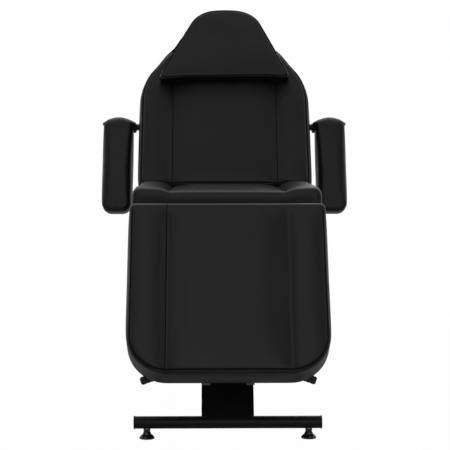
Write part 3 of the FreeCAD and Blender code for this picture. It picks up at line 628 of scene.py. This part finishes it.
def makePillow():
    # tapered head pillow that lies in the hollow of the backrest's crown
    look = pillowLook
    corners = bothSides([(0.238, 0.932, 0.012), (0.186, 1.066, 0.300), (0.102, 1.223, 0.100),
                         (0, 1.234, 0.400)])
    turn = restTurn["backrest"]
    piece = roundedBlank("headPillow", corners, look)
    remesh(piece, look["voxel"])
    bed = surfaceOf(backrestPad, turn.inverted())
    ring = outlineRing(corners, look["seamInset"], look["seamHeight"])
    lowCorners = [Vector((x, y)) for x, y, radius in corners if radius < look["tightCorner"]]
    middle = Vector((0, look["middle"] + lengthShift))
    lowEdge = min(y for x, y, radius in corners)

    def drawIn(co):
        # the sides pull in between the corners, and the pillow leans a little to one side
        reach = min((co.xy - corner).length for corner in lowCorners)
        lowHalf = 1 - smoothStep(look["fadeFrom"] + lengthShift, look["fadeTo"] + lengthShift, co.y)
        pull = look["sidePull"] * smoothStep(look["pullFrom"], look["pullReach"], reach) * lowHalf
        inward = (middle - co.xy) / look["pullSpan"]
        sideways = look["lean"] * (co.y - lowEdge)
        tilt = look["edgeTilt"] * co.x * (1 - smoothStep(lowEdge, lowEdge + look["tiltReach"], co.y))
        return Vector((co.x + inward.x * pull + sideways, co.y + inward.y * pull + tilt, co.z))

    ring = [drawIn(point) for point in ring]
    seam = treeOf(ring)
    pinned = []
    top = look["bottom"] + look["height"]
    for vertex in piece.data.vertices:
        co = drawIn(vertex.co)
        lowest = bed.ray_cast(Vector((co.x, co.y, rayStart)), Vector((0, 0, -1)))[0]
        if lowest is not None:
            share = 1 - smoothStep(look["bottom"], top, co.z)
            co.z += (lowest.z + look["restGap"] - look["bottom"]) * share
        vertex.co = co
        if vertex.normal.z < look["underNormal"]:
            pinned.append(vertex.index)
            continue
        place, index, distance = seam.find(co)
        if distance < look["seamReach"]:
            vertex.co -= vertex.normal * look["seamPinch"] * (1 - distance / look["seamReach"])
            if distance < look["seamHold"]:
                pinned.append(vertex.index)
    puff(piece, pinned, look)
    finishSoft(piece, turn, "pillow", "head_pillow")
    weltRing("headPillowWelt", ring, piece, look["weltRadius"], turn, "pillow", True)


makePillow()


armLook = {"inner": 0.330, "outer": 0.436, "rear": 0.037, "front": -0.322, "splay": 0.005, "bottom": -0.012,
           "height": 0.067, "topRim": 0.016, "bottomRim": 0.010, "voxel": 0.0046, "baseReach": 0.004,
           "endRadius": 0.034, "arch": 0.060, "earRadius": 0.030, "earDrop": 0.020, "earIn": 0.017,
           "earOut": 0.012, "earY": 0.009, "earReach": 0.008, "earLevel": 0.028, "earSpread": 0.014,
           "earHold": 0.5, "noseReach": 0.050, "noseDrop": 0.026, "pressure": 3, "cap": 0.003, "slack": 0.001,
           "evenPasses": 2, "flapRadius": 0.0016, "flapFoot": (-0.008, 0.008), "flapTip": (0.010, 0.028),
           "flapSteps": 6}


def makeArmPad(name, side, body, node):
    # padded armrest with an arched rear end, whose cover is gathered into an ear on each side of it
    look = armLook
    left, right = sorted((side * look["inner"], side * look["outer"]))
    middle = (left + right) / 2
    shoulder = look["rear"] - look["earDrop"]
    splay = side * look["splay"]
    corners = [(right + splay, look["front"], look["endRadius"]), (right, shoulder, look["earRadius"]),
               (middle, look["rear"], look["arch"]), (left, shoulder, look["earRadius"]),
               (left + splay, look["front"], look["endRadius"])]
    piece = roundedBlank(name, corners, look)
    remesh(piece, look["voxel"])
    pinned = []
    for vertex in piece.data.vertices:
        co = vertex.co
        across = (co.x - middle) / (0.5 * (right - left))
        outward = across * side > 0
        flare = math.exp(-((co.y - look["earY"]) / look["earReach"]) ** 2) * min(abs(across), 1) ** 4
        flare *= math.exp(-((co.z - look["earLevel"]) / look["earSpread"]) ** 2)
        co.x += math.copysign((look["earOut"] if outward else look["earIn"]) * flare, across)
        nose = max(co.y - look["rear"] + look["noseReach"], 0) / look["noseReach"]
        co.z -= look["noseDrop"] * nose ** 2 * max(co.z - look["bottom"], 0) / look["height"]
        if co.z < look["bottom"] + look["baseReach"] or flare > look["earHold"]:
            pinned.append(vertex.index)
    puff(piece, pinned, look)
    finishSoft(piece, restTurn["armrest"], body, node)
    # the ear's fold is a strand in the darker piping vinyl, so it shows as a painted shade line
    foot = Vector((side * (look["inner"] + look["flapFoot"][0]), look["flapFoot"][1], look["earLevel"]))
    tip = Vector((side * (look["inner"] + look["flapTip"][0]), look["flapTip"][1], look["earLevel"]))
    flapLine = [foot.lerp(tip, step / look["flapSteps"]) for step in range(look["flapSteps"] + 1)]
    weltRing(name + "Flap", flapLine, piece, look["flapRadius"], restTurn["armrest"], body, False)


makeArmPad("leftArmPad", -1, "left_armrest", "left_armrest_pad")
makeArmPad("rightArmPad", 1, "right_armrest", "right_armrest_pad")


stapleLook = {"inset": 0.030, "spacing": 0.045, "leastShare": 0.4, "size": (0.011, 0.0013, 0.0006),
              "tilt": 0.35, "tiltTurn": 2.4}


def makeStaples(name, corners, turn, body):
    # a row of staples that holds the cover and the dust cloth under a board
    look = stapleLook
    ring = outlineRing(corners, look["inset"], sectionLook["bottom"] - look["size"][2] / 2, look["spacing"])
    deselectAll()
    made = []
    for index, (here, ahead) in enumerate(zip(ring, ring[1:] + ring[:1])):
        along = ahead - here
        if along.length < look["spacing"] * look["leastShare"]:
            continue
        bpy.ops.mesh.primitive_cube_add(size=1)
        staple = bpy.context.active_object
        heading = math.atan2(along.y, along.x) + look["tilt"] * math.sin(index * look["tiltTurn"])
        stretch = Matrix.Diagonal((*look["size"], 1))
        spin = Matrix.Translation(here) @ Matrix.Rotation(heading, 4, "Z") @ stretch
        staple.data.transform(turn @ spin)
        made.append(staple)
    row = made[0]
    makeActive(row)
    for staple in made:
        staple.select_set(True)
    bpy.ops.object.join()
    row.name = name
    row.data.name = name
    row.data.materials.clear()
    row.data.materials.append(finishes["zinc_steel"])
    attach(row, body)
    print(name, "done:", len(row.data.polygons), "faces")


makeStaples("seatStaples", seatCorners, restTurn["seat"], "base")
makeStaples("footrestStaples", footCorners, restTurn["footrest"], "footrest")
makeStaples("backrestStaples", backCorners, restTurn["backrest"], "backrest")


stageLook = {"floorSize": 60, "floorColour": (0.38, 0.38, 0.38), "floorRough": 0.8, "floorGloss": 0.1,
             "floorMirror": 0.25, "backgroundShare": 0.985, "shadeReach": (0.8, 2.6), "ambient": 0.22,
             "frontMirror": 0.22, "mirrorBlend": (-0.3, 0.3)}


def whiteRays(tree, mirrored):
    # one for rays that meet the white background: seen directly, through glass or, to a share, mirrored
    path = tree.nodes.new("ShaderNodeLightPath")
    dimmed = tree.nodes.new("ShaderNodeMath")
    dimmed.operation = "MULTIPLY"
    if isinstance(mirrored, bpy.types.NodeSocket):
        tree.links.new(mirrored, dimmed.inputs[1])
    else:
        dimmed.inputs[1].default_value = mirrored
    tree.links.new(path.outputs["Is Glossy Ray"], dimmed.inputs[0])
    first = tree.nodes.new("ShaderNodeMath")
    first.operation = "MAXIMUM"
    tree.links.new(path.outputs["Is Camera Ray"], first.inputs[0])
    tree.links.new(dimmed.outputs[0], first.inputs[1])
    second = tree.nodes.new("ShaderNodeMath")
    second.operation = "MAXIMUM"
    tree.links.new(first.outputs[0], second.inputs[0])
    tree.links.new(path.outputs["Is Transmission Ray"], second.inputs[1])
    return second.outputs[0]


def makeFloor():
    deselectAll()
    bpy.ops.mesh.primitive_plane_add(size=stageLook["floorSize"], location=(0, 0, 0))
    floor = bpy.context.active_object
    floor.name = "studioFloor"
    material, tree, shader, coords = newMaterial("paleFloor")
    shader.inputs["Base Color"].default_value = (*stageLook["floorColour"], 1)
    shader.inputs["Roughness"].default_value = stageLook["floorRough"]
    shader.inputs["Specular IOR Level"].default_value = stageLook["floorGloss"]
    glow = tree.nodes.new("ShaderNodeEmission")
    glow.inputs["Strength"].default_value = 1
    mix = tree.nodes.new("ShaderNodeMixShader")
    reach = tree.nodes.new("ShaderNodeVectorMath")
    reach.operation = "LENGTH"
    tree.links.new(coords, reach.inputs[0])
    share = spanNode(tree, reach.outputs["Value"], stageLook["backgroundShare"], 1, *stageLook["shadeReach"])
    scaled = tree.nodes.new("ShaderNodeMath")
    scaled.operation = "MULTIPLY"
    tree.links.new(share, scaled.inputs[1])
    tree.links.new(whiteRays(tree, stageLook["floorMirror"]), scaled.inputs[0])
    tree.links.new(scaled.outputs[0], mix.inputs["Fac"])
    tree.links.new(shader.outputs["BSDF"], mix.inputs[1])
    tree.links.new(glow.outputs["Emission"], mix.inputs[2])
    tree.links.new(mix.outputs["Shader"], tree.nodes["Material Output"].inputs["Surface"])
    floor.data.materials.append(material)


def makeWorld():
    world = bpy.data.worlds.new("studio")
    bpy.context.scene.world = world
    world.use_nodes = True
    tree = world.node_tree
    background = tree.nodes["Background"]
    background.inputs["Color"].default_value = (1, 1, 1, 1)
    span = tree.nodes.new("ShaderNodeMapRange")
    span.inputs["To Min"].default_value = stageLook["ambient"]
    span.inputs["To Max"].default_value = 1
    # mirrored, the white lies behind the object, and the room in front of it is dimmer
    direction = tree.nodes.new("ShaderNodeSeparateXYZ")
    tree.links.new(tree.nodes.new("ShaderNodeTexCoord").outputs["Generated"], direction.inputs["Vector"])
    mirrored = spanNode(tree, direction.outputs["Y"], stageLook["frontMirror"], 1, *stageLook["mirrorBlend"])
    tree.links.new(whiteRays(tree, mirrored), span.inputs["Value"])
    tree.links.new(span.outputs["Result"], background.inputs["Strength"])


lamps = {
    "keyBox": {"place": (-0.5, -2.4, 2.8), "aim": (0, -0.5, 0.45), "size": 2.4, "watts": 10},
    "frontBox": {"place": (0.3, -3.6, 1.0), "aim": (0, 0, 0.7), "size": 3.0, "watts": 19},
    "topBox": {"place": (0, 1.1, 3.0), "aim": (0, 0.4, 0.9), "size": 2.0, "watts": 9},
    "rearBox": {"place": (0.6, 3.4, 2.2), "aim": (0, 0.2, 0.8), "size": 1.6, "watts": 12},
}


def makeLamps():
    for name, lamp in lamps.items():
        deselectAll()
        bpy.ops.object.light_add(type="AREA", location=lamp["place"])
        light = bpy.context.active_object
        light.name = name
        light.data.size = lamp["size"]
        light.data.energy = lamp["watts"]
        beam = Vector(lamp["aim"]) - Vector(lamp["place"])
        light.rotation_euler = beam.to_track_quat("-Z", "Y").to_euler()


cameraLook = {"place": (-0.062, -4.7312, 0.937), "pitch": 0.0665, "yaw": 0.01579, "lens": 113.52,
              "sensor": 36, "shift": -0.0105, "far": 100}


def makeCamera():
    deselectAll()
    turn = (math.pi / 2 - cameraLook["pitch"], 0, -cameraLook["yaw"])
    bpy.ops.object.camera_add(location=cameraLook["place"], rotation=turn)
    camera = bpy.context.active_object
    camera.data.lens = cameraLook["lens"]
    camera.data.sensor_width = cameraLook["sensor"]
    camera.data.shift_x = cameraLook["shift"]
    camera.data.clip_end = cameraLook["far"]
    bpy.context.scene.camera = camera


makeFloor()
makeWorld()
makeLamps()
makeCamera()
bpy.context.scene.view_settings.view_transform = "Standard"
print("stage, lamps and camera set")
